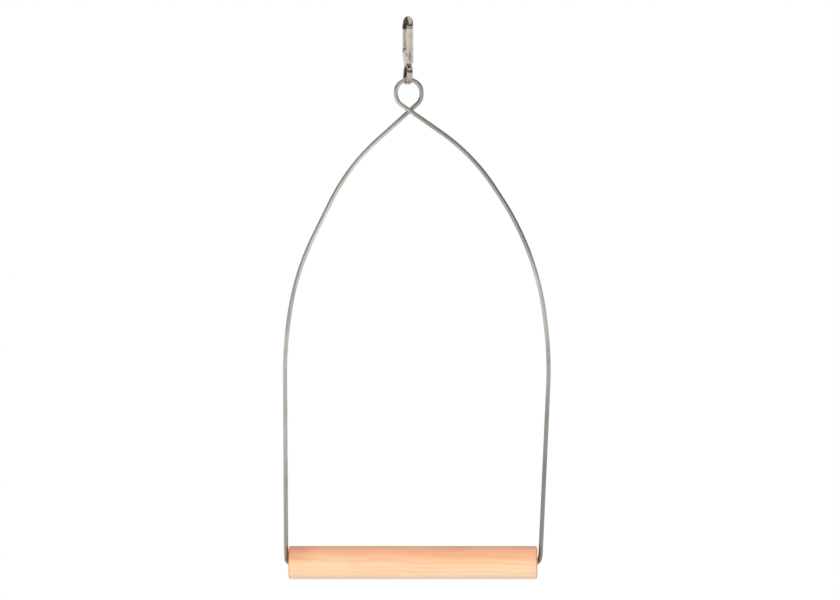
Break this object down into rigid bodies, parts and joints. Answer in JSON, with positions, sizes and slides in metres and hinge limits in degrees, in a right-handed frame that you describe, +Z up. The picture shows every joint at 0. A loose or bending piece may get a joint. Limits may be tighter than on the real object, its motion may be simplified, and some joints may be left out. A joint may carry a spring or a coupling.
{
  "type": "bird swing",
  "caption": "Cage-bird arch swing: a bent wire bow with a ring at its top, a turned wooden perch between its feet, and a small sprung snap hook to hang it from.",
  "frame": {"origin": "centre of the half-round seat inside the hook's bight, where the hook hangs from a bar or ring", "axes": "+Z up, X along the perch, -Y towards the gate side of the hook"},
  "size_m": [0.0972, 0.012, 0.2042],
  "materials": {
    "pine": "sanded, waxed",
    "plated_wire": "satin nickel plate",
    "nickel": "polished nickel plate",
    "steel": "bright"
  },
  "bodies": {
    "hook": {"hook_body": "nickel", "gate_rivet": "steel"},
    "gate": {"hook_gate": "nickel", "gate_spring": "steel"},
    "bow": {"wire_bow": "plated_wire"},
    "perch": {"perch": "pine"}
  },
  "joints": [
    {"name": "bow_swing", "type": "hinge", "parent": "hook", "child": "bow", "pos_m": [0.0003, 0, -0.01855], "axis": [1, 0, 0], "range_deg": [-80, 80]},
    {"name": "perch_spin", "type": "hinge", "parent": "bow", "child": "perch", "pos_m": [0.00185, 0, -0.19375], "axis": [1, 0, 0], "continuous": true},
    {"name": "gate_pivot", "type": "hinge", "parent": "hook", "child": "gate", "pos_m": [0.00043, -0.00185, -0.0098], "axis": [-0.9744, -0.225, 0], "range_deg": [0, 27], "stiffness_Nm_per_rad": 0.02, "springref_deg": -14.32}
  ]
}
